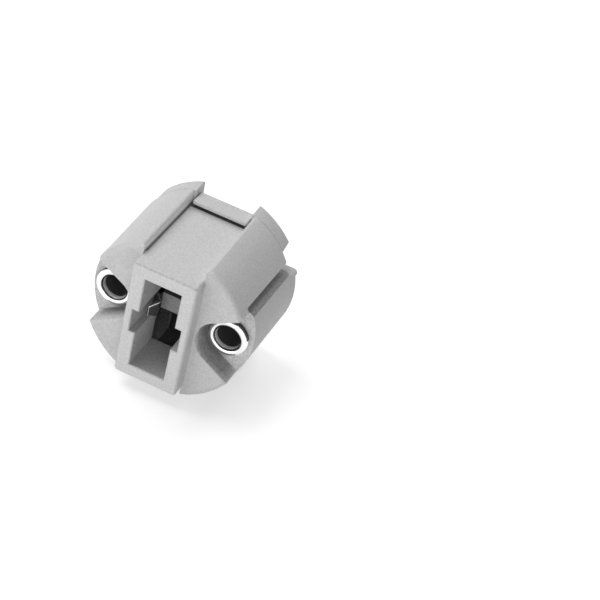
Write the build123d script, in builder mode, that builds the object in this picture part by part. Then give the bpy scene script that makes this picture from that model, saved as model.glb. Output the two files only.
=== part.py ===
"""Push-in lamp holder for a flat-based capsule lamp.

A drafted drum moulding carries a rectangular tower with the lamp slot.  A
back cover closes the rear cavity, hooks over two flats and guides four push-in
conductors.  Two tubular eyelets rivet housing and cover together and take the
fixing screws.  Inside sit two pole contacts, four wire clamps and two leaf
springs that hold the lamp's base.

Depth is measured from the tower's front face towards the wiring side, widths
and heights from the drum axis.  All sizes are in millimetres.
"""
from build123d import *
import math
import os

# Depths of the drum and its cover
TOTAL_DEPTH = 20.9
COVER_THICKNESS = 2.8
LOBE_DEPTH = 2.5

# The eyelets' standard spacing is 18 mm, and the drum is built around them
EYELET_OFFSET = 9.0
EYELET_RIM = 3.6
DRUM_FLARE = 0.4
LOBE_NOSE_BEVEL = 0.5
BACK_BEVEL = 0.3
SEAM_BEVEL = 0.2

# Tower, lamp slot and the spring notches beside it
SLOT_HALF_WIDTH = 2.8
SLOT_HALF_HEIGHT = 7.75
SLOT_DEPTH = 7.2
SLOT_LIP = 0.15
TOWER_WALL = 2.15
TOWER_CORNER_RADIUS = 0.6
TOWER_BEVEL = 0.3
NOTCH_STEP = 1.0
NOTCH_HALF_HEIGHT = 1.95
NOTCH_DEPTH = 11.6

# Barrier between the poles, and the chambers on both sides of it
BARRIER_HALF_WIDTH = 2.3
BARRIER_HALF_HEIGHT = 1.37
BARRIER_DEPTH = 6.9
CHAMBER_STEP = 1.5

# Flats above and below, between the lobes
LOBE_RISE = 2.7
LOBE_FOOT_HALF_WIDTH = 4.75
RIDGE_BEVEL = 0.4
FOOT_GROOVE_WIDTH = 0.25
FOOT_GROOVE_DEPTH = 0.3
FOOT_GROOVE_INSET = 0.8

# Eyelets
EYELET_BORE_RADIUS = 1.9
EYELET_WALL = 0.4
EYELET_COLLAR_WIDTH = 1.0
EYELET_COLLAR_HEIGHT = 1.15
EYELET_FLARE_WIDTH = 0.75
EYELET_FLARE_LIP = 0.2
EYELET_FLARE_LENGTH = 1.2
EYELET_FLARE_RISE = 0.2
EYELET_CLEARANCE = 0.05

# Valleys that bare the eyelets, bosses and side grooves
SEAT_DEPTH = 6.0
VALLEY_RADIUS = 3.8
VALLEY_HALF_ANGLE = 30.0
VALLEY_CORNER_BEVEL = 0.35
BOSS_HALF_HEIGHT = 5.1
BOSS_CORNER_BEVEL = 0.5
GROOVE_HEIGHT = 1.45
GROOVE_DEPTH = 2.95
UPPER_GROOVE_START = 4.9
LOWER_GROOVE_START = 6.2

# Wire pockets and entries, placed from the eyelets and the drum wall
WIRE_INSET = 2.35
WIRE_Z = 6.12
WIRE_RADIUS = 1.7
POCKET_BOTTOM = 4.2
POCKET_ROOF_WALL = 1.7
POCKET_FOOT_INSET = 0.28
POCKET_SHOULDER_STEP = 0.3
POCKET_SHOULDER_Z = 6.2
POCKET_WALL = 1.25
POCKET_DEPTH = 8.6

# Back cover
PLUG_LENGTH = 1.5
PLUG_CLEARANCE = 0.2
COVER_LOBE_X = 4.4
COVER_LOBE_LEAN = 2.0
WIRE_SLOT_HALF_WIDTH = 2.07
WIRE_SLOT_DRAFT = 6.0
RECESS_RADIUS = 3.5
RECESS_DEPTH = 0.8
HOOK_HALF_WIDTH = 4.3
HOOK_REACH = 1.35
HOOK_THICKNESS = 0.6
HOOK_GAP = 0.5
HOOK_SLOPE_START = 1.3
HOOK_SLOPE_END = 0.4
HOOK_SLOPE_RISE = 0.2
HOOK_BACK_DROP = 0.5
HOOK_CORNER_RADIUS = 0.3

# Pole contacts
CONTACT_THICKNESS = 0.4
CONTACT_END_GAP = 0.42
CONTACT_SIDE_GAP = 0.3
CONTACT_PLUG_GAP = 0.4
CONTACT_BRIDGE_WIDTH = 3.0
CONTACT_FRONT_GAP = 0.8
PIN_OFFSET = 4.5
FORK_HALF_HEIGHT = 1.4
FORK_ROOT_X = 1.5
FORK_GRIP_X = 0.55
FORK_MOUTH_X = 1.15
FORK_GRIP_LENGTH = 2.8
FORK_MOUTH_LENGTH = 1.8
LEAF_THICKNESS = 0.3
LEAF_BEND_RADIUS = 0.6

# Wire clamps
CLAMP_HALF_WIDTH = 1.15
CLAMP_SIDE_GAP = 0.25
CLAMP_FRONT_GAP = 1.0
CLAMP_BACK_GAP = 0.8
CLAMP_BEND_DROP = 1.0
CLAMP_BEND_RADIUS = 0.45
CLAMP_REACH = 4.6
CLAMP_TIP_GAP = 0.35

# Lamp retaining springs
SPRING_HALF_HEIGHT = 1.4
SPRING_KNEE_X = 1.4
SPRING_KNEE_DEPTH = 4.8
SPRING_LEAD_X = 2.8
SPRING_LEAD_DEPTH = 3.4
SPRING_SEAT_DEPTH = 7.4
SPRING_END_GAP = 0.2
SPRING_CORNER_CUT = 0.7
SPRING_BEND_RADIUS = 0.5

# Sizes that follow from the ones above
SEAM_DEPTH = TOTAL_DEPTH - COVER_THICKNESS
FRONT_RADIUS = EYELET_OFFSET + EYELET_RIM
BACK_RADIUS = FRONT_RADIUS + DRUM_FLARE
FLAT_HALF_HEIGHT = FRONT_RADIUS - LOBE_RISE
DRUM_SLOPE = DRUM_FLARE / (TOTAL_DEPTH - BACK_BEVEL - LOBE_DEPTH)
SEAM_RADIUS = FRONT_RADIUS + DRUM_SLOPE * (SEAM_DEPTH - LOBE_DEPTH)
TOWER_HALF_WIDTH = SLOT_HALF_WIDTH + TOWER_WALL
NOTCH_HALF_WIDTH = SLOT_HALF_WIDTH + NOTCH_STEP
CHAMBER_HALF_WIDTH = SLOT_HALF_WIDTH + CHAMBER_STEP
EYELET_TUBE_RADIUS = EYELET_BORE_RADIUS + EYELET_WALL
EYELET_COLLAR_RADIUS = EYELET_BORE_RADIUS + EYELET_COLLAR_WIDTH
EYELET_FLARE_RADIUS = EYELET_TUBE_RADIUS + EYELET_FLARE_WIDTH
BORE_RADIUS = EYELET_TUBE_RADIUS + EYELET_CLEARANCE
GROOVE_INNER_X = FRONT_RADIUS - GROOVE_DEPTH
WIRE_X = EYELET_OFFSET - WIRE_INSET
POCKET_TOP = FLAT_HALF_HEIGHT - POCKET_ROOF_WALL
POCKET_FOOT_X = EYELET_OFFSET - POCKET_FOOT_INSET
POCKET_SHOULDER_X = EYELET_OFFSET + POCKET_SHOULDER_STEP
POCKET_CORNER_RADIUS = FRONT_RADIUS - POCKET_WALL
PLUG_DEPTH = SEAM_DEPTH - PLUG_LENGTH
RECESS_FLOOR_DEPTH = TOTAL_DEPTH - RECESS_DEPTH
EYELET_FLARE_DEPTH = RECESS_FLOOR_DEPTH + EYELET_FLARE_RISE
HOOK_UNDERSIDE = FLAT_HALF_HEIGHT + HOOK_GAP
HOOK_TOP = HOOK_UNDERSIDE + HOOK_THICKNESS
CONTACT_REAR_DEPTH = PLUG_DEPTH - CONTACT_PLUG_GAP
CONTACT_BRIDGE_DEPTH = CONTACT_REAR_DEPTH - CONTACT_BRIDGE_WIDTH
CONTACT_END_X = POCKET_FOOT_X - CONTACT_END_GAP

# The holder rests on the cover's lobe tips, where each leaning lobe wall meets
# the drum's back radius, so their height below the axis sets the axis height.
LEAN = math.tan(math.radians(COVER_LOBE_LEAN))
WALL_FOOT = COVER_LOBE_X - LEAN * FLAT_HALF_HEIGHT
AXIS_HEIGHT = (
    math.sqrt(BACK_RADIUS**2 * (1 + LEAN**2) - WALL_FOOT**2) - LEAN * WALL_FOOT
) / (1 + LEAN**2)


def section(depth):
    """Plane across the axis; extrusion from it runs towards the lamp side."""
    return Plane(
        origin=(0, depth - TOTAL_DEPTH / 2, AXIS_HEIGHT),
        x_dir=(1, 0, 0),
        z_dir=(0, -1, 0),
    )


# Plan view plane: local x is the width, local y the depth.
PLAN = Plane(origin=(0, -TOTAL_DEPTH / 2, AXIS_HEIGHT), x_dir=(1, 0, 0), z_dir=(0, 0, 1))

# Side view plane: local x is the depth, local y the height.
SIDE = Plane(origin=(0, -TOTAL_DEPTH / 2, AXIS_HEIGHT), x_dir=(0, 1, 0), z_dir=(1, 0, 0))


def valley_outline():
    """Round-bottomed V around each eyelet, open to the side."""
    lean = math.radians(VALLEY_HALF_ANGLE)
    start_x = EYELET_OFFSET - VALLEY_RADIUS * math.sin(lean)
    start_z = VALLEY_RADIUS * math.cos(lean)
    reach = BACK_RADIUS
    with BuildSketch() as outline:
        with BuildLine():
            ThreePointArc(
                (start_x, start_z),
                (EYELET_OFFSET - VALLEY_RADIUS, 0),
                (start_x, -start_z),
            )
            Polyline(
                (start_x, -start_z),
                (start_x + reach, -start_z - reach * math.tan(lean)),
                (start_x + reach, start_z + reach * math.tan(lean)),
                (start_x, start_z),
            )
        make_face()
        mirror(about=Plane.YZ)
    return outline.sketch


def cavity_outline(gap):
    """Upper and lower rear cavity, shrunk by a gap all round."""
    with BuildSketch() as outline:
        with BuildLine():
            Polyline(
                (0, BARRIER_HALF_HEIGHT + gap),
                (CHAMBER_HALF_WIDTH - gap, BARRIER_HALF_HEIGHT + gap),
                (CHAMBER_HALF_WIDTH - gap, POCKET_BOTTOM + gap),
                (POCKET_FOOT_X - gap, POCKET_BOTTOM + gap),
                (POCKET_SHOULDER_X - gap, POCKET_SHOULDER_Z),
                (POCKET_SHOULDER_X - gap, POCKET_TOP - gap),
                (0, POCKET_TOP - gap),
                close=True,
            )
        make_face()
        Circle(POCKET_CORNER_RADIUS - gap, mode=Mode.INTERSECT)
        mirror(about=Plane.YZ)
        mirror(about=Plane.XZ)
    return outline.sketch


def rim_edges(part, lowest, highest):
    """Edges that run along the depth on the drum's surface, by height off the axis."""
    found = ShapeList()
    for edge in part.edges():
        middle = edge.position_at(0.5)
        height = abs(middle.Z - AXIS_HEIGHT)
        depth = middle.Y + TOTAL_DEPTH / 2
        radius = FRONT_RADIUS + DRUM_SLOPE * (depth - LOBE_DEPTH)
        on_drum = abs(math.hypot(middle.X, height) - radius) < 0.02
        along = abs(edge.position_at(1).Y - edge.position_at(0).Y) > 0.9 * edge.length
        if on_drum and along and edge.length > 1.5 and lowest < height < highest:
            found.append(edge)
    return found


with BuildPart() as housing:
    # Drafted drum with a bevelled nose
    with BuildSketch(PLAN):
        Polygon(
            (0, LOBE_DEPTH),
            (FRONT_RADIUS - LOBE_NOSE_BEVEL, LOBE_DEPTH),
            (FRONT_RADIUS + DRUM_SLOPE * LOBE_NOSE_BEVEL, LOBE_DEPTH + LOBE_NOSE_BEVEL),
            (SEAM_RADIUS, SEAM_DEPTH),
            (0, SEAM_DEPTH),
            align=None,
        )
    revolve(axis=Axis((0, 0, AXIS_HEIGHT), (0, 1, 0)))

    # Flats above and below, with a shallow groove along the foot of each lobe
    with BuildSketch(section(SEAM_DEPTH)):
        rise = BACK_RADIUS - FLAT_HALF_HEIGHT
        with Locations((0, FLAT_HALF_HEIGHT + rise / 2)):
            Rectangle(2 * LOBE_FOOT_HALF_WIDTH, rise)
        mirror(about=Plane.XZ)
    extrude(amount=SEAM_DEPTH - LOBE_DEPTH, mode=Mode.SUBTRACT)
    with BuildSketch(section(SEAM_DEPTH)):
        groove_x = LOBE_FOOT_HALF_WIDTH - FOOT_GROOVE_WIDTH / 2
        with Locations((groove_x, FLAT_HALF_HEIGHT), (-groove_x, FLAT_HALF_HEIGHT)):
            Rectangle(FOOT_GROOVE_WIDTH, 2 * FOOT_GROOVE_DEPTH)
        mirror(about=Plane.XZ)
    extrude(amount=SEAM_DEPTH - LOBE_DEPTH - FOOT_GROOVE_INSET, mode=Mode.SUBTRACT)
    chamfer(rim_edges(housing.part, FLAT_HALF_HEIGHT, FRONT_RADIUS), RIDGE_BEVEL)

    # Valleys that bare the eyelet seats
    with BuildSketch(section(SEAT_DEPTH)):
        add(valley_outline())
    extrude(amount=SEAT_DEPTH - LOBE_DEPTH, mode=Mode.SUBTRACT)
    chamfer(rim_edges(housing.part, VALLEY_RADIUS, FLAT_HALF_HEIGHT), VALLEY_CORNER_BEVEL)

    # Side grooves between the eyelet bosses and the lobes
    for side, start in ((1, UPPER_GROOVE_START), (-1, LOWER_GROOVE_START)):
        with BuildSketch(section(SEAM_DEPTH)):
            width = BACK_RADIUS - GROOVE_INNER_X
            with Locations((GROOVE_INNER_X + width / 2, side * (BOSS_HALF_HEIGHT + GROOVE_HEIGHT / 2))):
                Rectangle(width, GROOVE_HEIGHT)
            mirror(about=Plane.YZ)
        extrude(amount=SEAM_DEPTH - start, mode=Mode.SUBTRACT)
    boss_edges = rim_edges(housing.part, BOSS_HALF_HEIGHT - 0.01, BOSS_HALF_HEIGHT + 0.01)
    chamfer(boss_edges, BOSS_CORNER_BEVEL)

    # Tower around the lamp slot
    with BuildSketch(section(LOBE_DEPTH)):
        RectangleRounded(2 * TOWER_HALF_WIDTH, 2 * FLAT_HALF_HEIGHT, TOWER_CORNER_RADIUS)
    extrude(amount=LOBE_DEPTH)
    chamfer(housing.faces().sort_by(Axis.Y)[0].outer_wire().edges(), TOWER_BEVEL)

    # Bores for the eyelets
    with BuildSketch(section(SEAM_DEPTH)):
        with Locations((EYELET_OFFSET, 0), (-EYELET_OFFSET, 0)):
            Circle(BORE_RADIUS)
    extrude(amount=SEAM_DEPTH - LOBE_DEPTH, mode=Mode.SUBTRACT)

    # Rear cavity: pole chambers and wire pockets
    with BuildSketch(section(SEAM_DEPTH)):
        add(cavity_outline(0))
    extrude(amount=SEAM_DEPTH - POCKET_DEPTH, mode=Mode.SUBTRACT)
    with BuildSketch(section(POCKET_DEPTH)):
        chamber_height = POCKET_TOP - BARRIER_HALF_HEIGHT
        with Locations((0, BARRIER_HALF_HEIGHT + chamber_height / 2)):
            Rectangle(2 * CHAMBER_HALF_WIDTH, chamber_height)
        mirror(about=Plane.XZ)
    extrude(amount=POCKET_DEPTH - SLOT_DEPTH, mode=Mode.SUBTRACT)

    # Lamp slot, with the notches and channels for the retaining springs
    with BuildSketch(section(BARRIER_DEPTH)):
        Rectangle(2 * SLOT_HALF_WIDTH, 2 * SLOT_HALF_HEIGHT)
        Rectangle(2 * NOTCH_HALF_WIDTH, 2 * NOTCH_HALF_HEIGHT)
    extrude(amount=BARRIER_DEPTH, mode=Mode.SUBTRACT)
    with BuildSketch(section(SLOT_DEPTH)):
        slot_side = SLOT_HALF_HEIGHT - BARRIER_HALF_HEIGHT
        with Locations((0, BARRIER_HALF_HEIGHT + slot_side / 2)):
            Rectangle(2 * SLOT_HALF_WIDTH, slot_side)
        mirror(about=Plane.XZ)
    extrude(amount=SLOT_DEPTH - BARRIER_DEPTH, mode=Mode.SUBTRACT)
    with BuildSketch(section(NOTCH_DEPTH)):
        channel = NOTCH_HALF_WIDTH - BARRIER_HALF_WIDTH
        with Locations((BARRIER_HALF_WIDTH + channel / 2, 0)):
            Rectangle(channel, 2 * NOTCH_HALF_HEIGHT)
        mirror(about=Plane.YZ)
    extrude(amount=NOTCH_DEPTH - BARRIER_DEPTH, mode=Mode.SUBTRACT)
    chamfer(housing.faces().sort_by(Axis.Y)[0].inner_wires().edges(), SLOT_LIP)
housing.part.label = "housing"


with BuildPart() as back_cover:
    # Drafted plate, bevelled at its seam and its back
    with BuildSketch(PLAN):
        Polygon(
            (0, SEAM_DEPTH),
            (SEAM_RADIUS - SEAM_BEVEL, SEAM_DEPTH),
            (SEAM_RADIUS + DRUM_SLOPE * SEAM_BEVEL, SEAM_DEPTH + SEAM_BEVEL),
            (BACK_RADIUS, TOTAL_DEPTH - BACK_BEVEL),
            (BACK_RADIUS - BACK_BEVEL, TOTAL_DEPTH),
            (0, TOTAL_DEPTH),
            align=None,
        )
    revolve(axis=Axis((0, 0, AXIS_HEIGHT), (0, 1, 0)))

    # Gaps between the lobes, above and below
    with BuildSketch(section(TOTAL_DEPTH)):
        rise = BACK_RADIUS - FLAT_HALF_HEIGHT
        Polygon(
            (-COVER_LOBE_X, FLAT_HALF_HEIGHT),
            (COVER_LOBE_X, FLAT_HALF_HEIGHT),
            (COVER_LOBE_X + rise * LEAN, BACK_RADIUS),
            (-COVER_LOBE_X - rise * LEAN, BACK_RADIUS),
            align=None,
        )
        mirror(about=Plane.XZ)
    extrude(amount=COVER_THICKNESS, mode=Mode.SUBTRACT)

    # Hook tabs that reach over the housing's flats
    root = HOOK_UNDERSIDE - COVER_THICKNESS
    slope_top = FLAT_HALF_HEIGHT + HOOK_SLOPE_RISE
    back_top = FLAT_HALF_HEIGHT - HOOK_BACK_DROP
    with BuildSketch(SIDE):
        Polygon(
            (TOTAL_DEPTH, root),
            (TOTAL_DEPTH, back_top),
            (TOTAL_DEPTH - HOOK_SLOPE_END, slope_top),
            (TOTAL_DEPTH - HOOK_SLOPE_START, HOOK_TOP),
            (SEAM_DEPTH - HOOK_REACH, HOOK_TOP),
            (SEAM_DEPTH - HOOK_REACH, HOOK_UNDERSIDE),
            (SEAM_DEPTH, HOOK_UNDERSIDE),
            (SEAM_DEPTH, root),
            align=None,
        )
        mirror(about=Plane.XZ)
    extrude(amount=HOOK_HALF_WIDTH, both=True)
    tips = back_cover.faces().filter_by(Axis.Y).sort_by(Axis.Y)[0:2]
    fillet(tips.edges().filter_by(Axis.Z), HOOK_CORNER_RADIUS)

    # Bevel along the back edge of each gap
    with BuildSketch(SIDE):
        Polygon(
            (TOTAL_DEPTH, back_top),
            (TOTAL_DEPTH, BACK_RADIUS),
            (TOTAL_DEPTH - HOOK_SLOPE_END, BACK_RADIUS),
            (TOTAL_DEPTH - HOOK_SLOPE_END, slope_top),
            align=None,
        )
        mirror(about=Plane.XZ)
    extrude(amount=COVER_LOBE_X, both=True, mode=Mode.SUBTRACT)

    # Locating plug that closes the housing's rear cavity
    with BuildSketch(section(SEAM_DEPTH)):
        add(cavity_outline(PLUG_CLEARANCE))
    extrude(amount=PLUG_LENGTH)

    # Wire slots, open to the sides, drafted to the entries
    with BuildSketch(section(TOTAL_DEPTH)):
        with Locations((WIRE_X, WIRE_Z)):
            Circle(WIRE_SLOT_HALF_WIDTH)
        with Locations((WIRE_X + BACK_RADIUS / 2, WIRE_Z)):
            Rectangle(BACK_RADIUS, 2 * WIRE_SLOT_HALF_WIDTH)
        mirror(about=Plane.XZ)
        mirror(about=Plane.YZ)
    extrude(amount=COVER_THICKNESS, taper=WIRE_SLOT_DRAFT, mode=Mode.SUBTRACT)

    # Wire entries through the plug
    with BuildSketch(section(SEAM_DEPTH)):
        with Locations((WIRE_X, WIRE_Z), (-WIRE_X, WIRE_Z), (WIRE_X, -WIRE_Z), (-WIRE_X, -WIRE_Z)):
            Circle(WIRE_RADIUS)
    extrude(amount=PLUG_LENGTH, mode=Mode.SUBTRACT)

    # Recesses around the riveted ends of the eyelets
    with BuildSketch(section(TOTAL_DEPTH)):
        with Locations((EYELET_OFFSET, 0)):
            Circle(RECESS_RADIUS)
        with Locations((EYELET_OFFSET + RECESS_RADIUS, 0)):
            Rectangle(2 * RECESS_RADIUS, 2 * RECESS_RADIUS)
        mirror(about=Plane.YZ)
    extrude(amount=RECESS_DEPTH, mode=Mode.SUBTRACT)

    # Countersunk bores for the eyelets
    with BuildSketch(section(RECESS_FLOOR_DEPTH)):
        with Locations((EYELET_OFFSET, 0), (-EYELET_OFFSET, 0)):
            Circle(BORE_RADIUS)
    extrude(amount=RECESS_FLOOR_DEPTH - SEAM_DEPTH, mode=Mode.SUBTRACT)
    with BuildSketch(section(RECESS_FLOOR_DEPTH)):
        with Locations((EYELET_OFFSET, 0), (-EYELET_OFFSET, 0)):
            Circle(EYELET_FLARE_RADIUS + EYELET_CLEARANCE)
    flare_angle = math.degrees(math.atan(EYELET_FLARE_WIDTH / EYELET_FLARE_LENGTH))
    extrude(amount=EYELET_FLARE_LENGTH, taper=flare_angle, mode=Mode.SUBTRACT)
back_cover.part.label = "back_cover"


def make_eyelet(centre_x):
    """Tubular rivet: rolled collar on the seat, flared end in the countersink."""
    face = SEAT_DEPTH - EYELET_COLLAR_HEIGHT
    roll = EYELET_COLLAR_WIDTH / 2
    crest = EYELET_BORE_RADIUS + roll
    outline = [
        (EYELET_BORE_RADIUS, face + roll),
        (EYELET_BORE_RADIUS, EYELET_FLARE_DEPTH - EYELET_FLARE_LIP - EYELET_FLARE_LENGTH),
        (EYELET_FLARE_RADIUS - EYELET_WALL, EYELET_FLARE_DEPTH),
        (EYELET_FLARE_RADIUS, EYELET_FLARE_DEPTH),
        (EYELET_FLARE_RADIUS, EYELET_FLARE_DEPTH - EYELET_FLARE_LIP),
        (EYELET_TUBE_RADIUS, EYELET_FLARE_DEPTH - EYELET_FLARE_LIP - EYELET_FLARE_LENGTH),
        (EYELET_TUBE_RADIUS, SEAT_DEPTH),
        (EYELET_COLLAR_RADIUS, SEAT_DEPTH),
    ]
    for step in range(5):
        turn = math.radians(45 * step)
        outline.append((crest + roll * math.cos(turn), face + roll - roll * math.sin(turn)))
    with BuildPart() as eyelet:
        with BuildSketch(PLAN):
            with BuildLine():
                points = [(centre_x + radius, depth) for radius, depth in outline[:-1]]
                Polyline(*points, close=True)
            make_face()
        revolve(axis=Axis((centre_x, 0, AXIS_HEIGHT), (0, 1, 0)))
    return eyelet.part


with BuildPart() as eyelet_right:
    add(make_eyelet(EYELET_OFFSET))
eyelet_right.part.label = "eyelet_right"

with BuildPart() as eyelet_left:
    add(make_eyelet(-EYELET_OFFSET))
eyelet_left.part.label = "eyelet_left"


with BuildPart() as contact_upper:
    # Strip on the pocket floors, wide where the conductors lie on it
    with BuildSketch(PLAN.offset(POCKET_BOTTOM)):
        with Locations((0, CONTACT_REAR_DEPTH - CONTACT_BRIDGE_WIDTH / 2)):
            Rectangle(2 * CONTACT_END_X, CONTACT_BRIDGE_WIDTH)
        pad_length = CONTACT_REAR_DEPTH - POCKET_DEPTH - CONTACT_FRONT_GAP
        pad_width = CONTACT_END_X - CHAMBER_HALF_WIDTH - CONTACT_SIDE_GAP
        with Locations((CONTACT_END_X - pad_width / 2, CONTACT_REAR_DEPTH - pad_length / 2)):
            Rectangle(pad_width, pad_length)
        mirror(about=Plane.YZ)
    extrude(amount=CONTACT_THICKNESS)

    # Fork of two leaves that grips one lamp pin
    with BuildSketch(PLAN.offset(PIN_OFFSET)):
        with BuildLine():
            FilletPolyline(
                (FORK_ROOT_X, CONTACT_REAR_DEPTH),
                (FORK_ROOT_X, CONTACT_BRIDGE_DEPTH),
                (FORK_GRIP_X + LEAF_THICKNESS / 2, CONTACT_BRIDGE_DEPTH - FORK_GRIP_LENGTH),
                (FORK_MOUTH_X, CONTACT_BRIDGE_DEPTH - FORK_GRIP_LENGTH - FORK_MOUTH_LENGTH),
                radius=LEAF_BEND_RADIUS,
            )
        trace(line_width=LEAF_THICKNESS)
        mirror(about=Plane.YZ)
    extrude(amount=FORK_HALF_HEIGHT, both=True)
contact_upper.part.label = "contact_upper"

with BuildPart() as contact_lower:
    add(mirror(contact_upper.part, about=Plane.XY.offset(AXIS_HEIGHT), mode=Mode.PRIVATE))
contact_lower.part.label = "contact_lower"


def make_clamp(side, level):
    """V-shaped leaf under the pocket's roof whose free leg bites the conductor."""
    roof = POCKET_TOP - LEAF_THICKNESS / 2
    floor = POCKET_BOTTOM + CONTACT_THICKNESS + CLAMP_TIP_GAP
    bend = PLUG_DEPTH - CLAMP_BACK_GAP
    roof_edge = math.sqrt(POCKET_CORNER_RADIUS**2 - POCKET_TOP**2)
    middle = roof_edge - CLAMP_SIDE_GAP - CLAMP_HALF_WIDTH
    with BuildPart() as clamp:
        with BuildSketch(SIDE.offset(middle)):
            with BuildLine():
                FilletPolyline(
                    (POCKET_DEPTH + CLAMP_FRONT_GAP, roof),
                    (bend, roof),
                    (bend, roof - CLAMP_BEND_DROP),
                    (bend - CLAMP_REACH, floor),
                    radius=CLAMP_BEND_RADIUS,
                )
            trace(line_width=LEAF_THICKNESS)
        extrude(amount=CLAMP_HALF_WIDTH, both=True)
    shape = clamp.part
    if side < 0:
        shape = shape.mirror(Plane.YZ)
    if level < 0:
        shape = shape.mirror(Plane.XY.offset(AXIS_HEIGHT))
    return shape


with BuildPart() as clamp_upper_right:
    add(make_clamp(1, 1))
clamp_upper_right.part.label = "clamp_upper_right"

with BuildPart() as clamp_upper_left:
    add(make_clamp(-1, 1))
clamp_upper_left.part.label = "clamp_upper_left"

with BuildPart() as clamp_lower_right:
    add(make_clamp(1, -1))
clamp_lower_right.part.label = "clamp_lower_right"

with BuildPart() as clamp_lower_left:
    add(make_clamp(-1, -1))
clamp_lower_left.part.label = "clamp_lower_left"


with BuildPart() as retaining_spring_right:
    # Leaf in the notch: seat on the wall, knee towards the lamp, lead-in end
    wall_x = NOTCH_HALF_WIDTH - LEAF_THICKNESS / 2
    with BuildSketch(PLAN):
        with BuildLine():
            FilletPolyline(
                (wall_x, NOTCH_DEPTH - SPRING_END_GAP),
                (wall_x, SPRING_SEAT_DEPTH),
                (SPRING_KNEE_X + LEAF_THICKNESS / 2, SPRING_KNEE_DEPTH),
                (SPRING_LEAD_X, SPRING_LEAD_DEPTH),
                radius=SPRING_BEND_RADIUS,
            )
        trace(line_width=LEAF_THICKNESS)
    extrude(amount=SPRING_HALF_HEIGHT, both=True)
    # Cut corners of the lead-in end
    with BuildSketch(Plane.YZ.offset(SPRING_KNEE_X)):
        lead_y = SPRING_LEAD_DEPTH - TOTAL_DEPTH / 2 - LEAF_THICKNESS
        edge_z = AXIS_HEIGHT + SPRING_HALF_HEIGHT
        low_z = AXIS_HEIGHT - SPRING_HALF_HEIGHT
        Polygon(
            (lead_y, edge_z),
            (lead_y + 2 * SPRING_CORNER_CUT, edge_z),
            (lead_y, edge_z - SPRING_CORNER_CUT),
            align=None,
        )
        Polygon(
            (lead_y, low_z),
            (lead_y + 2 * SPRING_CORNER_CUT, low_z),
            (lead_y, low_z + SPRING_CORNER_CUT),
            align=None,
        )
    extrude(amount=NOTCH_HALF_WIDTH - SPRING_KNEE_X, mode=Mode.SUBTRACT)
retaining_spring_right.part.label = "retaining_spring_right"

with BuildPart() as retaining_spring_left:
    add(mirror(retaining_spring_right.part, about=Plane.YZ, mode=Mode.PRIVATE))
retaining_spring_left.part.label = "retaining_spring_left"


os.makedirs("parts", exist_ok=True)
export_step(housing.part, "parts/housing.step")
export_step(back_cover.part, "parts/back_cover.step")
export_step(eyelet_left.part, "parts/eyelet_left.step")
export_step(eyelet_right.part, "parts/eyelet_right.step")
export_step(contact_upper.part, "parts/contact_upper.step")
export_step(contact_lower.part, "parts/contact_lower.step")
export_step(clamp_upper_left.part, "parts/clamp_upper_left.step")
export_step(clamp_upper_right.part, "parts/clamp_upper_right.step")
export_step(clamp_lower_left.part, "parts/clamp_lower_left.step")
export_step(clamp_lower_right.part, "parts/clamp_lower_right.step")
export_step(retaining_spring_left.part, "parts/retaining_spring_left.step")
export_step(retaining_spring_right.part, "parts/retaining_spring_right.step")
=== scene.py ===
"""Looks of a push-in lamp holder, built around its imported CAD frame."""
from __future__ import annotations

import logging
import math
from dataclasses import dataclass
from enum import Enum, IntEnum

import bmesh
import bpy
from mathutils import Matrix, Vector

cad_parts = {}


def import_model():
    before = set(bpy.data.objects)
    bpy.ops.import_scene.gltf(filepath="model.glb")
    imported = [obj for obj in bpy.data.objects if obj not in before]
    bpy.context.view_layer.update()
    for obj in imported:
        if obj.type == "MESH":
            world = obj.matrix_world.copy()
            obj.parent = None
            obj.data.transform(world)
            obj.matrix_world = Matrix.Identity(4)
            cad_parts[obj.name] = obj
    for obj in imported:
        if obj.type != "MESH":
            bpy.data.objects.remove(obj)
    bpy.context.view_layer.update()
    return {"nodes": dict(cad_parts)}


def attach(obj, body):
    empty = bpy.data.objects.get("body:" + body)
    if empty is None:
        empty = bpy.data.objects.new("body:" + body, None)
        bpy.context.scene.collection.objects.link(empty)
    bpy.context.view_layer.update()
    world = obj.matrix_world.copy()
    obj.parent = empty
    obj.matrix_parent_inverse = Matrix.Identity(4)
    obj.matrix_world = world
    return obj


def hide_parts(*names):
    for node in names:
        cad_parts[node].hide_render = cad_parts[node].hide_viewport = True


LOG = logging.getLogger("lamp_holder")
MM = 0.001

# Height of the drum's axis and place of the tower's front face, in millimetres
AXIS_MM = 12.2035
FRONT_MM = -10.45

# Share of a face's normal in a direction from which the face counts as square to it,
# nearly square, steep, a groove's shoulder or only slanted
SQUARE = 0.99
NEARLY = 0.9
STEEP = 0.7
SHOULDER = 0.45
SLANTED = 0.3

# Distances in metres below which corners are one, and the angle below which faces are flat
MERGE_M = 1e-6
CLOSE_M = 1e-7
FLAT_DEG = 0.4


def to_linear(code: str) -> tuple[float, float, float, float]:
    """Turn an sRGB hex code into a linear colour.

    Args:
        code: six hex digits, such as "C6C6C6".

    Returns:
        The linear red, green and blue, with alpha 1.
    """
    values = []
    for start in (0, 2, 4):
        channel = int(code[start:start + 2], 16) / 255
        if channel <= 0.04045:
            values.append(channel / 12.92)
        else:
            values.append(((channel + 0.055) / 1.055) ** 2.4)
    return values[0], values[1], values[2], 1.0


class Surface(Enum):
    """How a finish throws light back."""

    DULL = "scattered by plastic or oxide"
    METAL = "mirrored by bare metal"


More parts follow.
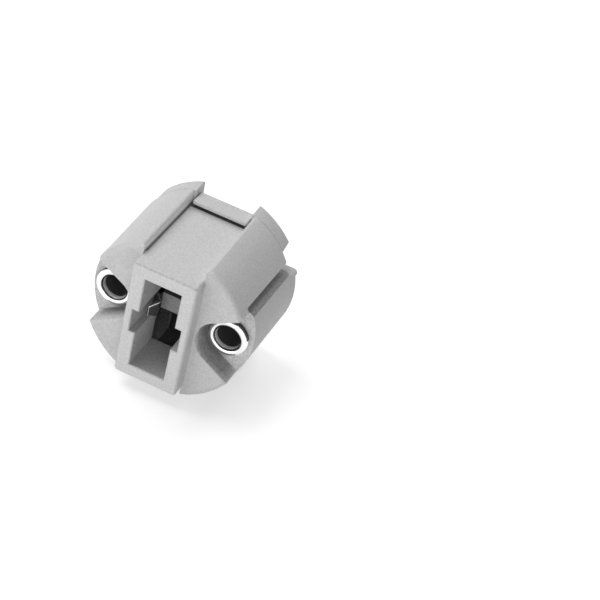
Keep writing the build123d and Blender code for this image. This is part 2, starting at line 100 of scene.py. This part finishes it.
@dataclass(frozen=True)
class Finish:
    """One material of the holder.

    Sizes are in millimetres, and the mottle is the share by which the colour varies.
    A finish with an outer colour starts in that colour and reaches its own between
    two depths behind the tower's front, and goes back to it between two radii.
    """

    name: str
    surface: Surface
    colour: str
    roughness: float
    grain_mm: float
    grain_depth_mm: float
    mottle: float = 0.0
    outer_colour: str = ""
    fade_depths_mm: tuple[float, float] = (0.0, 0.0)
    fade_radii_mm: tuple[float, float] = (10.9, 12.3)


# Liquid crystal polymer, injection moulded: matt light grey with a fine sandy mottle.
# Its real grain is about 0.05 mm and wouldn't show, so it is drawn at 0.3 mm.
HOUSING_FINISH = Finish("moulded_lcp_housing", Surface.DULL, "D2D2D2", 0.55, 0.30, 0.012, 0.09)
COVER_FINISH = Finish("moulded_lcp_cover", Surface.DULL, "D0D0D0", 0.55, 0.30, 0.012, 0.09)
# The same polymer on the tower's front face, drawn a little lighter as painted light on that face
TOWER_LIGHT_FINISH = Finish("moulded_lcp_tower_front_painted_light", Surface.DULL, "DCDCDC", 0.55, 0.30, 0.012, 0.09)
# The same polymer inside the moulding: rougher and duller, and drawn darker as painted shade
SLOT_SHADE_FINISH = Finish("moulded_lcp_slot_painted_shade", Surface.DULL, "C4C4C4", 0.65, 0.30, 0.020, 0.16)
# Painted shade on the cavity's outer walls, on faces deep in the slot and in the side grooves
RECESS_SHADE_FINISH = Finish("moulded_lcp_recess_painted_shade", Surface.DULL, "A4A4A4", 0.75, 0.35, 0.030, 0.22)
# Dark painted shade in the middle of the cavity, also used as a painted shadow on the flats under the hooks'
# fronts
CHAMBER_SHADE_FINISH = Finish("moulded_lcp_chamber_painted_shade", Surface.DULL, "585858", 0.75, 0.30, 0.025, 0.20)
# Painted shade in the valleys beside the eyelets, darker on the left, and on the seats. Where such a face
# runs out to the drum's outside, its colour fades into the housing's
LEFT_VALLEY_SHADE_FINISH = Finish(
    "moulded_lcp_left_valley_painted_shade", Surface.DULL, "909090", 0.75, 0.35, 0.030, 0.18, "D2D2D2", (2.9, 5.4)
)
RIGHT_VALLEY_SHADE_FINISH = Finish(
    "moulded_lcp_right_valley_painted_shade", Surface.DULL, "A0A0A0", 0.75, 0.35, 0.030, 0.22, "D2D2D2", (2.6, 4.0)
)
# Painted shade on the eyelets' seats, darkest near the tower
SEAT_SHADE_FINISH = Finish(
    "moulded_lcp_seat_painted_shade", Surface.DULL, "808080", 0.75, 0.35, 0.030, 0.18, "D2D2D2", (5.0, 5.8), (8.4, 10.6)
)
# The ridges' inner walls: a painted highlight along the top and painted shade towards the foot
RIDGE_LIGHT_AND_SHADE_FINISH = Finish(
    "moulded_lcp_ridge_painted_light_and_shade", Surface.DULL, "8C8C8C", 0.55, 0.30, 0.012, 0.09, "F2F2F2", (0.0, 1.0), (10.95, 11.7)
)
# Brass tube, nickel plated and rolled over: bright and smooth, with painted shade and dark reflections
# on the roll's inner side and round most of its outer side, a dull lip inside it and a bore drawn dark as
# painted shade
EYELET_FINISH = Finish("nickel_plated_brass", Surface.METAL, "F0F0F0", 0.10, 0.6, 0.001)
SHADE_FINISH = Finish("nickel_plated_brass_painted_shade", Surface.METAL, "4A4A4C", 0.12, 0.6, 0.002)
LIP_FINISH = Finish("nickel_plated_brass_lip", Surface.METAL, "F4F4F4", 0.60, 0.6, 0.004)
# Painted shade: the tube's inside is drawn a dull dark grey in place of the dark reflections in it
BORE_SHADE_FINISH = Finish("brass_bore_painted_shade", Surface.DULL, "404040", 0.60, 0.3, 0.010)
# Spring steel and plated bronze strip, rolled and stamped: satin grey faces, and rims drawn bright as a
# painted highlight
SPRING_FINISH = Finish("rolled_spring_steel", Surface.METAL, "7C7C7C", 0.24, 0.3, 0.002)
CONTACT_FINISH = Finish("rolled_plated_bronze", Surface.METAL, "B0B0AE", 0.30, 0.3, 0.003)
RIM_HIGHLIGHT_FINISH = Finish("strip_rim_painted_highlight", Surface.METAL, "F0F0F0", 0.35, 0.6, 0.001)

# Range of the noise that the mottle and the grain's detail are drawn from
NOISE_RANGE = (0.3, 0.7)
NOISE_DETAIL = 3.0

# Numbers of the Mix node's colour sockets
MIX_FIRST = 6
MIX_SECOND = 7
MIX_RESULT = 2


def add_node(
    tree: bpy.types.NodeTree, kind: str, inputs: dict[str | int, object] | None = None, **settings: object
) -> bpy.types.Node:
    """Add a shader node with its settings, values and links.

    Args:
        tree: the node tree to add to.
        kind: the node's type name after "ShaderNode".
        inputs: a value, or a socket to link, for each input by its name or number.
        **settings: the node's own settings, such as its operation.

    Returns:
        The new node.
    """
    node = tree.nodes.new(f"ShaderNode{kind}")
    for name, setting in settings.items():
        setattr(node, name, setting)
    for name, value in (inputs or {}).items():
        if isinstance(value, bpy.types.NodeSocket):
            tree.links.new(value, node.inputs[name])
        else:
            node.inputs[name].default_value = value
    return node


def faded_colour(
    tree: bpy.types.NodeTree, place: bpy.types.NodeSocket, finish: Finish
) -> bpy.types.NodeSocket:
    """Blend a finish's outer colour into its own by depth and radius.

    Args:
        tree: the material's node tree.
        place: the socket with the object coordinates.
        finish: the finish with its two colours.

    Returns:
        The socket with the blended colour.
    """
    parts = add_node(tree, "SeparateXYZ", {"Vector": place})
    near, far = ((FRONT_MM + depth) * MM for depth in finish.fade_depths_mm)
    deep = add_node(
        tree, "MapRange", {"Value": parts.outputs["Y"], "From Min": near, "From Max": far},
        interpolation_type="SMOOTHSTEP",
    )
    from_axis = add_node(
        tree, "VectorMath", {0: place, 1: (1, 0, 1), 2: (0, 0, -AXIS_MM * MM)}, operation="MULTIPLY_ADD"
    )
    radius = add_node(tree, "VectorMath", {0: from_axis.outputs["Vector"]}, operation="LENGTH")
    inner, outer = (size * MM for size in finish.fade_radii_mm)
    inside = add_node(
        tree, "MapRange",
        {
            "Value": radius.outputs["Value"], "From Min": inner, "From Max": outer,
            "To Min": 1.0, "To Max": 0.0,
        },
        interpolation_type="SMOOTHSTEP",
    )
    share = add_node(
        tree, "Math", {0: deep.outputs["Result"], 1: inside.outputs["Result"]}, operation="MULTIPLY"
    )
    colours = {MIX_FIRST: to_linear(finish.outer_colour), MIX_SECOND: to_linear(finish.colour)}
    blend = add_node(tree, "Mix", {0: share.outputs["Value"], **colours}, data_type="RGBA")
    return blend.outputs[MIX_RESULT]


def make_material(finish: Finish) -> bpy.types.Material:
    """Build the Principled material of a finish.

    Args:
        finish: the finish to build.

    Returns:
        The material, made once for each finish.
    """
    made = bpy.data.materials.get(finish.name)
    if made:
        return made
    material = bpy.data.materials.new(finish.name)
    material.use_nodes = True
    tree = material.node_tree
    shader = tree.nodes["Principled BSDF"]
    colour = to_linear(finish.colour)
    shader.inputs["Base Color"].default_value = colour
    shader.inputs["Roughness"].default_value = finish.roughness
    if finish.surface is Surface.METAL:
        shader.inputs["Metallic"].default_value = 1.0
    place = add_node(tree, "TexCoord").outputs["Object"]
    scale = 1 / (finish.grain_mm * MM)
    noise = add_node(tree, "TexNoise", {"Vector": place, "Scale": scale, "Detail": NOISE_DETAIL})
    grain = noise.outputs["Fac"]
    bump = add_node(tree, "Bump", {"Height": grain, "Distance": finish.grain_depth_mm * MM, "Strength": 1.0})
    tree.links.new(bump.outputs["Normal"], shader.inputs["Normal"])
    if finish.mottle:
        low, high = NOISE_RANGE
        spread = add_node(
            tree, "MapRange",
            {
                "Value": grain, "From Min": low, "From Max": high,
                "To Min": 1 - finish.mottle, "To Max": 1 + finish.mottle,
            },
        )
        base = faded_colour(tree, place, finish) if finish.outer_colour else colour[:3]
        tint = add_node(tree, "VectorMath", {0: base, "Scale": spread.outputs["Result"]}, operation="SCALE")
        tree.links.new(tint.outputs["Vector"], shader.inputs["Base Color"])
    return material


def make_piece(name: str, shape: bmesh.types.BMesh, finishes: list[Finish]) -> bpy.types.Object:
    """Turn a bmesh into a smooth-shaded object that belongs to the holder.

    Args:
        name: the object's name.
        shape: the finished bmesh, which is freed.
        finishes: the finishes of its material slots, in order.

    Returns:
        The object, at the origin.
    """
    mesh = bpy.data.meshes.new(name)
    shape.to_mesh(mesh)
    shape.free()
    for finish in finishes:
        mesh.materials.append(make_material(finish))
    mesh.polygons.foreach_set("use_smooth", [True] * len(mesh.polygons))
    piece = bpy.data.objects.new(name, mesh)
    bpy.context.scene.collection.objects.link(piece)
    return piece


def merged_copy(node: bpy.types.Object) -> bmesh.types.BMesh:
    """Copy a CAD node's mesh, join its loose triangles and clear its flat seams.

    Args:
        node: the CAD node.

    Returns:
        The merged bmesh, in metres.
    """
    shape = bmesh.new()
    shape.from_mesh(node.data)
    shape.transform(node.matrix_world)
    bmesh.ops.remove_doubles(shape, verts=shape.verts[:], dist=MERGE_M)
    flat = math.radians(FLAT_DEG)
    bmesh.ops.dissolve_limit(shape, angle_limit=flat, verts=shape.verts[:], edges=shape.edges[:])
    return shape


@dataclass(frozen=True)
class Spot:
    """A place on the drum, in millimetres.

    Across and up are distances from the drum's axis, and depth runs from the tower's
    front. The side is 1 on the right and -1 on the left.
    """

    side: int
    across: float
    depth: float
    up: float

    @classmethod
    def at(cls, point: Vector) -> Spot:
        """Measure a point.

        Args:
            point: the point, in metres.

        Returns:
            Its place on the drum.
        """
        x, y, z = (value / MM for value in point)
        return cls(-1 if x < 0 else 1, abs(x), y - FRONT_MM, abs(z - AXIS_MM))

    @property
    def radius(self) -> float:
        """Distance from the drum's axis, in millimetres."""
        return math.hypot(self.across, self.up)


Range = tuple[float, float]
ANYWHERE: Range = (-math.inf, math.inf)


def below(limit: float) -> Range:
    """Range of everything below a limit."""
    return -math.inf, limit


def above(limit: float) -> Range:
    """Range of everything above a limit."""
    return limit, math.inf


@dataclass(frozen=True)
class Block:
    """A block of the drum with its mirror images, as ranges in millimetres."""

    across: Range
    depth: Range
    up: Range

    def holds(self, spot: Spot) -> bool:
        """Whether a place lies in the block.

        Args:
            spot: the place.

        Returns:
            True for a place inside all three ranges.
        """
        ranges = ((self.across, spot.across), (self.depth, spot.depth), (self.up, spot.up))
        return all(low < value < high for (low, high), value in ranges)


class Zone(IntEnum):
    """Parts of a moulding that get their own material, as numbers of its material slots: painted shade beyond
    the outside, painted light on the tower's front and the ridges' tops.
    """

    OUTSIDE = 0
    RECESS = 1
    CHAMBER = 2
    SLOT = 3
    LEFT_VALLEY = 4
    RIGHT_VALLEY = 5
    SEAT = 6
    RIDGE = 7
    TOWER_FRONT = 8


# Finishes of the zones after the outside, in the order of their numbers
ZONE_FINISHES = [
    RECESS_SHADE_FINISH,
    CHAMBER_SHADE_FINISH,
    SLOT_SHADE_FINISH,
    LEFT_VALLEY_SHADE_FINISH,
    RIGHT_VALLEY_SHADE_FINISH,
    SEAT_SHADE_FINISH,
    RIDGE_LIGHT_AND_SHADE_FINISH,
    TOWER_LIGHT_FINISH,
]


@dataclass
class Moulding:
    """A moulded piece whose outer edges get the soft radii of the real one.

    Sizes are in millimetres. The edge, nose and ridge sizes are radii, and the others
    say where those radii and the zones of painted shade and light begin and end. Edges inside the slot,
    the cavity, the grooves and the valleys' corners stay as moulded.
    """

    node: str
    finish: Finish

    # Radii of the outer edges, of the lobes' front edges and of the ridges' tops
    edge_mm: float = 0.14
    nose_mm: float = 0.3
    ridge_mm: float = 0.2
    soft_segments: int = 3

    # Least angle of an edge that is softened, and the limits of the outside
    sharp_deg: float = 24.0
    rim_mm: float = 11.9
    drum_mm: float = 12.2
    tower_depth_mm: float = 1.0
    tower_outside_mm: tuple[float, float] = (4.0, 9.0)
    junction_depths_mm: Range = (5.5, 6.7)
    seam_depth_mm: float = 18.1
    seam_gap_mm: float = 0.05
    back_depth_mm: float = 20.4

    # The lobes' front edges, which keep clear of the tower by the lobe and by the valley
    nose_depths_mm: Range = (2.4, 3.2)
    lobe_x_mm: float = 5.2
    valley_x_mm: float = 5.45
    valley_up_mm: float = 3.0

    # Cuts of the flats at the hooks' fronts and of the chambers' floors, where the painted shade changes
    hook_depth_mm: float = 16.85
    flat_ups_mm: Range = (9.8, 10.0)
    floor_ups_mm: Range = (8.0, 8.5)
    chamber_half_width_mm: float = 2.0
    shoulder_up_mm: float = 5.12

    # Blocks of edges
    ridge_top: Block = Block(below(5.7), ANYWHERE, above(10.3))
    groove_corners: Block = Block(above(9.0), above(tower_depth_mm), (5.0, 6.8))

    # Blocks of faces, and the depth at which the slot ends and the cavity begins
    chamber_depth_mm: float = 7.7
    cavity: Block = Block(below(7.9), (chamber_depth_mm, 17.5), below(8.6))
    slot: Block = Block(below(4.1), (0.3, chamber_depth_mm), below(8.3))
    # The tower's top front edge, drawn with a thin line of painted shade
    top_edge_shade: Block = Block(below(4.8), below(0.35), above(9.4))
    # Flats under the hooks' fronts, which get a painted shadow
    hook_shadow: Block = Block(below(4.9), above(hook_depth_mm), flat_ups_mm)
    valley: Block = Block(above(5.1), (2.55, 5.95), ANYWHERE)
    tower_front: Block = Block(ANYWHERE, below(0.01), ANYWHERE)
    ridge_wall: Block = Block((4.65, 4.85), (2.5, seam_depth_mm), above(9.9))
    seat: Block = Block(above(5.1), (5.9, 6.1), ANYWHERE)
    side_groove: Block = Block(above(9.0), (6.3, 19.0), (4.6, 6.6))

    def _in_seam(self, face: bmesh.types.BMFace) -> bool:
        """Whether a face lies in the seam between housing and cover.

        Args:
            face: a face of the merged mesh.

        Returns:
            True for a face of the seam's plane.
        """
        depth = Spot.at(face.calc_center_median()).depth
        return abs(face.normal.y) > SQUARE and abs(depth - self.seam_depth_mm) < self.seam_gap_mm

    def _radius(self, edge: bmesh.types.BMEdge) -> float:
        """Radius of one edge.

        Args:
            edge: an edge of the merged mesh.

        Returns:
            The radius in millimetres, 0 for an edge that stays as it is.
        """
        if len(edge.link_faces) != 2 or edge.calc_face_angle_signed(0.0) < math.radians(self.sharp_deg):
            return 0.0
        spot = Spot.at((edge.verts[0].co + edge.verts[1].co) / 2)
        junction_start, junction_end = self.junction_depths_mm
        if self.groove_corners.holds(spot) or spot.depth > self.back_depth_mm:
            return 0.0
        if junction_start < spot.depth < junction_end or any(self._in_seam(face) for face in edge.link_faces):
            return 0.0
        if spot.depth < self.tower_depth_mm:
            side, top = self.tower_outside_mm
            return self.edge_mm if spot.across > side or spot.up > top else 0.0
        nose_start, nose_end = self.nose_depths_mm
        if nose_start < spot.depth < nose_end:
            clear = self.lobe_x_mm if spot.up > self.valley_up_mm else self.valley_x_mm
            return self.nose_mm if spot.across > clear else 0.0
        if self.ridge_top.holds(spot):
            return self.ridge_mm
        return self.edge_mm if spot.radius > self.rim_mm else 0.0

    def _split(
        self, shape: bmesh.types.BMesh, ups_mm: Range, place: tuple[float, ...], normal: tuple[int, ...]
    ) -> None:
        """Cut the level faces between two heights along a plane.

        Args:
            shape: the merged mesh.
            ups_mm: the two heights above or below the drum's axis.
            place: a point of the plane, in metres.
            normal: the plane's normal.
        """
        low, high = ups_mm
        chosen = []
        for face in shape.faces:
            if abs(face.normal.z) > SQUARE and low < Spot.at(face.calc_center_median()).up < high:
                chosen.append(face)
        parts = set(chosen)
        for face in chosen:
            parts.update(face.edges)
            parts.update(face.verts)
        bmesh.ops.bisect_plane(shape, geom=list(parts), plane_co=place, plane_no=normal)

    def _cut(self, shape: bmesh.types.BMesh) -> None:
        """Cut the flats at the hooks' fronts and the chambers' floors, where the painted shade changes.

        Args:
            shape: the merged mesh.
        """
        hook = (FRONT_MM + self.hook_depth_mm) * MM
        side = self.chamber_half_width_mm * MM
        self._split(shape, self.flat_ups_mm, (0, hook, 0), (0, 1, 0))
        for across in (side, -side):
            self._split(shape, self.floor_ups_mm, (across, 0, 0), (1, 0, 0))

    def _zone(self, face: bmesh.types.BMFace) -> Zone:
        """Zone of one face.

        Args:
            face: a face of the merged mesh.

        Returns:
            The zone whose finish the face gets.
        """
        spot = Spot.at(face.calc_center_median())
        normal = face.normal
        sideways = abs(normal.y) < SLANTED
        # The cavity gets painted shade: the dark one in its middle, a lighter one on its outer floors and
        # side walls
        if self.cavity.holds(spot):
            outer = abs(normal.z) > STEEP and spot.across > self.chamber_half_width_mm
            inward = spot.side * normal.x < -STEEP
            return Zone.RECESS if outer or inward else Zone.CHAMBER
        # The slot's faces get painted shade, darker on those that look out of its mouth
        if self.slot.holds(spot):
            return Zone.RECESS if normal.y < -STEEP else Zone.SLOT
        # A thin line of painted shade along the tower's top front edge
        if self.top_edge_shade.holds(spot) and normal.y < -SLANTED and abs(normal.z) > SLANTED:
            return Zone.SLOT
        # The flats under the hooks' fronts get a painted shadow
        if self.hook_shadow.holds(spot) and abs(normal.z) > NEARLY:
            return Zone.CHAMBER
        # The valleys' walls get painted shade, darker on the left than on the right
        if self.valley.holds(spot) and sideways and spot.radius < self.rim_mm:
            return Zone.LEFT_VALLEY if spot.side < 0 else Zone.RIGHT_VALLEY
        # The tower's front face gets painted light
        if self.tower_front.holds(spot) and normal.y < -SQUARE:
            return Zone.TOWER_FRONT
        # The ridges' inner walls get a painted highlight and painted shade
        if self.ridge_wall.holds(spot) and abs(normal.x) > NEARLY:
            return Zone.RIDGE
        # The eyelets' seats get painted shade
        if self.seat.holds(spot) and normal.y < -NEARLY:
            return Zone.SEAT
        # The side grooves' walls and shoulders get painted shade
        if self.side_groove.holds(spot) and sideways:
            shoulder = spot.up < self.shoulder_up_mm and abs(normal.z) > SHOULDER
            return Zone.RECESS if shoulder or spot.radius < self.drum_mm else Zone.OUTSIDE
        return Zone.OUTSIDE

    def build(self, nodes: dict[str, bpy.types.Object]) -> bpy.types.Object:
        """Build the softened piece in place of its CAD node.

        Args:
            nodes: the frame's CAD nodes by name.

        Returns:
            The piece.
        """
        shape = merged_copy(nodes[self.node])
        self._cut(shape)
        weights = shape.edges.layers.float.new("bevel_weight_edge")
        largest = max(self.edge_mm, self.nose_mm)
        for edge in shape.edges:
            edge[weights] = self._radius(edge) / largest
            edge.smooth = edge[weights] > 0 or edge.calc_face_angle(0.0) < math.radians(self.sharp_deg)
        for face in shape.faces:
            face.material_index = self._zone(face)
        piece = make_piece(f"{self.node}_moulding", shape, [self.finish, *ZONE_FINISHES])
        soften = piece.modifiers.new("soft edges", "BEVEL")
        soften.limit_method = "WEIGHT"
        soften.width = largest * MM
        soften.segments = self.soft_segments
        soften.use_clamp_overlap = False
        soften.miter_outer = "MITER_ARC"
        even = piece.modifiers.new("even shading", "WEIGHTED_NORMAL")
        even.keep_sharp = True
        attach(piece, "root")
        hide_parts(self.node)
        LOG.info("%s: %d faces before its edges are softened", piece.name, len(piece.data.polygons))
        return piece


@dataclass
class Strip:
    """A bent metal strip that keeps its CAD mesh and gets rounded rims with a painted highlight.

    The rims' width is in millimetres.
    """

    node: str
    finish: Finish
    edge_mm: float = 0.09
    edge_segments: int = 2
    sharp_deg: float = 40.0

    def build(self, nodes: dict[str, bpy.types.Object]) -> bpy.types.Object:
        """Give the CAD node its finish.

        Args:
            nodes: the frame's CAD nodes by name.

        Returns:
            The CAD node.
        """
        piece = nodes[self.node]
        piece.data.materials.clear()
        for finish in (self.finish, RIM_HIGHLIGHT_FINISH):
            piece.data.materials.append(make_material(finish))
        piece.modifiers.new("joined", "WELD").merge_threshold = MERGE_M
        rounded = piece.modifiers.new("rounded edges", "BEVEL")
        rounded.limit_method = "ANGLE"
        rounded.angle_limit = math.radians(self.sharp_deg)
        rounded.width = self.edge_mm * MM
        rounded.segments = self.edge_segments
        # The rounded rims get the painted highlight
        rounded.material = 1
        LOG.info("%s: dressed as %s", piece.name, self.finish.name)
        return piece


class EyeletZone(IntEnum):
    """Parts of an eyelet that get their own material, as numbers of its material slots; the shade and bore
    parts are painted shade.
    """

    FRONT = 0
    BORE = 1
    SHADE = 2
    LIP = 3


@dataclass
class Eyelet:
    """Tubular rivet with a rolled collar and a flared end.

    Sizes are in millimetres, and depths run from the tower's front face. The shares are
    parts of the roll's radius, from its crest to where a zone begins. The foot lists how
    the roll turns under: shares of its radius and distances in front of the seat.
    """

    node: str
    centre_mm: float
    bore_mm: float = 1.9
    wall_mm: float = 0.4
    roll_mm: float = 0.58
    fold_mm: float = 0.1
    lip_mm: float = 0.3
    face_depth_mm: float = 4.85
    seat_depth_mm: float = 6.0
    flare_depth_mm: float = 18.9
    end_depth_mm: float = 20.3
    flare_mm: float = 0.75
    skin_mm: float = 0.02
    foot: tuple[tuple[float, float], ...] = ((0.98, 0.25), (0.86, 0.08), (0.6, 0.02))
    # Where the lip and the painted shade on the roll's inner and outer sides begin, and the turns where the
    # outer side stays bright
    lip_share: float = 0.93
    shade_share: float = 0.5
    rim_share: float = 0.8
    bright_turns_deg: Range = (-85.0, 15.0)
    roll_steps: int = 16
    end_steps: int = 6
    steps: int = 96

    def _outline(self) -> list[tuple[float, float]]:
        """Work out the radius and depth of the profile's corners.

        Returns:
            The corners, from the bore round the collar to the flared end.
        """
        crest = self.bore_mm + self.roll_mm
        tube = self.bore_mm + self.wall_mm
        roll_depth = self.face_depth_mm + self.roll_mm
        half_wall = self.wall_mm / 2
        end = self.bore_mm + self.flare_mm + half_wall
        corners = [
            (self.bore_mm, self.flare_depth_mm),
            (self.bore_mm, roll_depth + self.fold_mm + self.lip_mm),
            (self.bore_mm, roll_depth + self.fold_mm),
        ]
        for step in range(self.roll_steps + 1):
            turn = math.pi * step / self.roll_steps
            radius = crest - self.roll_mm * math.cos(turn)
            corners.append((radius, roll_depth - self.roll_mm * math.sin(turn)))
        for share, lift_mm in self.foot:
            corners.append((crest + self.roll_mm * share, self.seat_depth_mm - lift_mm))
        corners += [(tube, self.seat_depth_mm - self.skin_mm), (tube, self.flare_depth_mm)]
        for step in range(self.end_steps + 1):
            turn = math.pi * step / self.end_steps
            depth = self.end_depth_mm - half_wall + half_wall * math.sin(turn)
            corners.append((end + half_wall * math.cos(turn), depth))
        return corners

    def _zone(self, middle: Vector) -> EyeletZone:
        """Zone of one face.

        Args:
            middle: the face's middle from the collar's centre, in millimetres.

        Returns:
            The zone whose finish the face gets.
        """
        radius = math.hypot(middle.x, middle.z)
        crest = self.bore_mm + self.roll_mm
        if middle.y > self.seat_depth_mm and radius > self.bore_mm + self.skin_mm:
            return EyeletZone.FRONT
        lip_end = self.face_depth_mm + self.roll_mm + self.fold_mm + self.lip_mm
        # Deep in the bore the faces get its painted shade, near the mouth the dull lip
        if radius < crest - self.roll_mm * self.lip_share:
            return EyeletZone.BORE if middle.y > lip_end else EyeletZone.LIP
        # The roll's inner side gets painted shade and dark reflection
        if radius < crest - self.roll_mm * self.shade_share:
            return EyeletZone.SHADE
        # The roll's outer side also gets painted shade and dark reflection, except where it faces right and
        # down
        first, last = self.bright_turns_deg
        bright = first < math.degrees(math.atan2(middle.z, middle.x)) < last
        if radius > crest + self.roll_mm * self.rim_share and not bright:
            return EyeletZone.SHADE
        return EyeletZone.FRONT

    def build(self, nodes: dict[str, bpy.types.Object]) -> bpy.types.Object:
        """Spin the rivet in place of its CAD node.

        Args:
            nodes: the frame's CAD nodes by name.

        Returns:
            The rivet.
        """
        shape = bmesh.new()
        centre = Vector((self.centre_mm, FRONT_MM, AXIS_MM)) * MM
        outline = self._outline()
        verts = [shape.verts.new(centre + Vector((radius, depth, 0)) * MM) for radius, depth in outline]
        edges = [shape.edges.new((a, b)) for a, b in zip(verts, verts[1:] + verts[:1])]
        bmesh.ops.spin(
            shape, geom=verts + edges, cent=centre, axis=(0, 1, 0), angle=math.tau,
            steps=self.steps, use_merge=True,
        )
        bmesh.ops.remove_doubles(shape, verts=shape.verts[:], dist=CLOSE_M)
        bmesh.ops.recalc_face_normals(shape, faces=shape.faces[:])
        for face in shape.faces:
            face.material_index = self._zone((face.calc_center_median() - centre) / MM)
        piece = make_piece(f"{self.node}_rivet", shape, [EYELET_FINISH, BORE_SHADE_FINISH, SHADE_FINISH, LIP_FINISH])
        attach(piece, "root")
        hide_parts(self.node)
        LOG.info("%s: %d faces", piece.name, len(piece.data.polygons))
        return piece


@dataclass(frozen=True)
class Lamp:
    """A square area lamp that looks at the holder from a direction.

    Its level is what it adds to a white face that looks straight at it, where 1 is white.
    """

    name: str
    towards: tuple[float, float, float]
    level: float


LAMPS = (
    Lamp("top left", (-0.5, 0.0, 0.87), 0.49),
    Lamp("top back", (0.0, 0.6, 0.8), 0.34),
    Lamp("front left", (-0.6, -0.8, 0.2), 0.21),
    Lamp("front", (0.0, -1.0, 0.15), 0.20),
    Lamp("front right", (0.5, -0.85, 0.2), 0.27),
)


@dataclass
class Studio:
    """Floor, lights and the camera that was fitted to the photograph."""

    camera_mm: tuple[float, float, float] = (51.016, -151.691, 138.136)
    camera_turn: tuple[float, float, float] = (0.90015019, -0.22012187, 0.39635588)
    camera_clip_m: Range = (0.01, 10.0)
    sensor_mm: float = 36.0
    focal_px: float = 1405.98
    picture_px: float = 600.0
    lamp_reach_mm: float = 400.0
    lamp_size_mm: float = 260.0
    lamp_aim_mm: tuple[float, float, float] = (0.0, 0.0, 12.0)
    sky_level: float = 0.02
    floor_half_m: float = 2.0
    floor_colour: str = "F4F4F4"
    floor_glow: float = 0.5
    shadow_mm: Range = (25.0, 160.0)

    def build(self) -> None:
        """Make the floor, the world, the lamps and the camera."""
        self._floor()
        self._world()
        for lamp in LAMPS:
            self._lamp(lamp)
        self._camera()

    def _seen(self, tree: bpy.types.NodeTree) -> bpy.types.NodeSocket:
        """Add the test for rays by which the camera sees the surroundings.

        Args:
            tree: the node tree to add to.

        Returns:
            A socket that is 1 for camera, glossy and transmission rays.
        """
        rays = add_node(tree, "LightPath").outputs
        either = add_node(
            tree, "Math", {0: rays["Is Camera Ray"], 1: rays["Is Glossy Ray"]}, operation="MAXIMUM"
        )
        any_of = add_node(
            tree, "Math", {0: either.outputs["Value"], 1: rays["Is Transmission Ray"]}, operation="MAXIMUM"
        )
        return any_of.outputs["Value"]

    def _floor(self) -> None:
        """Make a plain white floor that keeps the holder's shadow."""
        sheet = bmesh.new()
        bmesh.ops.create_grid(sheet, x_segments=1, y_segments=1, size=self.floor_half_m)
        mesh = bpy.data.meshes.new("floor")
        sheet.to_mesh(mesh)
        sheet.free()
        floor = bpy.data.objects.new("floor", mesh)
        bpy.context.scene.collection.objects.link(floor)
        material = bpy.data.materials.new("floor")
        material.use_nodes = True
        tree = material.node_tree
        shader = tree.nodes["Principled BSDF"]
        shader.inputs["Base Color"].default_value = to_linear(self.floor_colour)
        shader.inputs["Roughness"].default_value = 1.0
        shader.inputs["Specular IOR Level"].default_value = 0.0
        shader.inputs["Emission Color"].default_value = to_linear("FFFFFF")
        place = add_node(tree, "TexCoord").outputs["Object"]
        away = add_node(tree, "VectorMath", {0: place}, operation="LENGTH").outputs["Value"]
        near, far = (distance * MM for distance in self.shadow_mm)
        whiter = add_node(
            tree, "MapRange", {"Value": away, "From Min": near, "From Max": far, "To Min": self.floor_glow}
        )
        seen = self._seen(tree)
        glow = add_node(tree, "Math", {0: seen, 1: whiter.outputs["Result"]}, operation="MULTIPLY")
        tree.links.new(glow.outputs["Value"], shader.inputs["Emission Strength"])
        mesh.materials.append(material)

    def _world(self) -> None:
        """Light the scene from all sides with a weak white that looks full white."""
        world = bpy.data.worlds.new("world")
        world.use_nodes = True
        tree = world.node_tree
        sky = tree.nodes["Background"]
        sky.inputs["Color"].default_value = to_linear("FFFFFF")
        seen = self._seen(tree)
        level = add_node(tree, "MapRange", {"Value": seen, "To Min": self.sky_level, "To Max": 1.0})
        tree.links.new(level.outputs["Result"], sky.inputs["Strength"])
        bpy.context.scene.world = world

    def _lamp(self, lamp: Lamp) -> None:
        """Add one lamp, with its power worked out from its level.

        Args:
            lamp: the lamp's direction and level.
        """
        light = bpy.data.lights.new(lamp.name, "AREA")
        light.size = self.lamp_size_mm * MM
        light.energy = lamp.level * math.pi**2 * (self.lamp_reach_mm * MM) ** 2
        place = bpy.data.objects.new(lamp.name, light)
        middle = Vector(self.lamp_aim_mm) * MM
        place.location = middle + Vector(lamp.towards).normalized() * self.lamp_reach_mm * MM
        place.rotation_euler = (middle - place.location).to_track_quat("-Z", "Y").to_euler()
        bpy.context.scene.collection.objects.link(place)

    def _camera(self) -> None:
        """Set up the camera."""
        data = bpy.data.cameras.new("camera")
        data.sensor_width = self.sensor_mm
        data.lens = self.focal_px / self.picture_px * self.sensor_mm
        data.clip_start, data.clip_end = self.camera_clip_m
        camera = bpy.data.objects.new("camera", data)
        camera.location = Vector(self.camera_mm) * MM
        camera.rotation_euler = self.camera_turn
        bpy.context.scene.collection.objects.link(camera)
        bpy.context.scene.camera = camera


def main() -> None:
    """Dress the frame piece by piece and set up the studio."""
    logging.basicConfig(level=logging.INFO)
    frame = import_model()
    nodes = frame["nodes"]
    Moulding("housing", HOUSING_FINISH).build(nodes)
    Moulding("back_cover", COVER_FINISH, edge_mm=0.12, nose_mm=0.12).build(nodes)
    Eyelet("eyelet_right", 9.0).build(nodes)
    Eyelet("eyelet_left", -9.0).build(nodes)
    for name in ("contact_upper", "contact_lower"):
        Strip(name, CONTACT_FINISH).build(nodes)
    for name in nodes:
        if name.startswith(("clamp", "retaining")):
            Strip(name, SPRING_FINISH).build(nodes)
    Studio().build()
    bpy.context.scene.view_settings.view_transform = "Standard"


if __name__ == "__main__":
    main()
